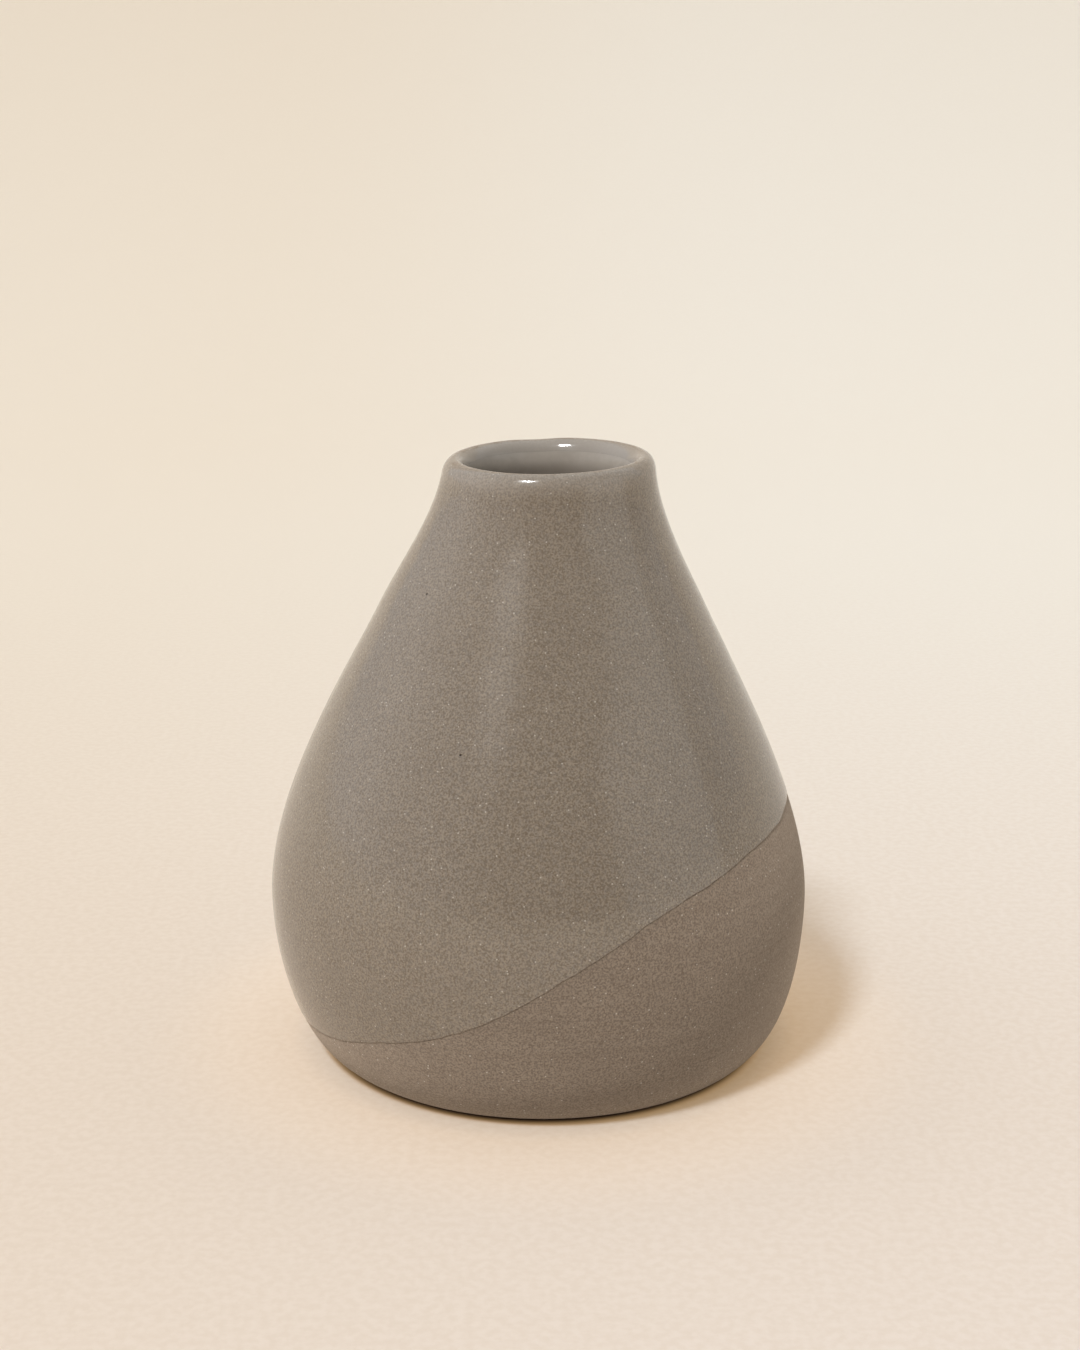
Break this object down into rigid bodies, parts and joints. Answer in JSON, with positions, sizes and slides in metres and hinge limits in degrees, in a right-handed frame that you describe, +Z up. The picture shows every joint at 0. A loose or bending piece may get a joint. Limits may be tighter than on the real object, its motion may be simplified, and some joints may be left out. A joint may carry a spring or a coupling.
{
  "type": "bud vase",
  "caption": "Pear-shaped stoneware bud vase with a low wide belly, a narrow round-lipped mouth for a few stems, and satin glaze dipped at a slant above bare clay.",
  "frame": {"origin": "centre of the foot, on the surface that the vase stands on", "axes": "+Z up along the axis of the vase, -Y towards the viewer in the picture, +X to the right, where the glaze line is highest"},
  "size_m": [0.0813, 0.0816, 0.09],
  "materials": {
    "stoneware": "matte, bare fired clay with fine grog speckle",
    "satin_glaze": "satin, warm grey with fine speckle",
    "liner_glaze": "satin, smooth warm grey"
  },
  "bodies": {
    "root": {"clay_body": "stoneware", "outer_glaze": "satin_glaze", "liner_glaze": "liner_glaze"}
  },
  "joints": []
}
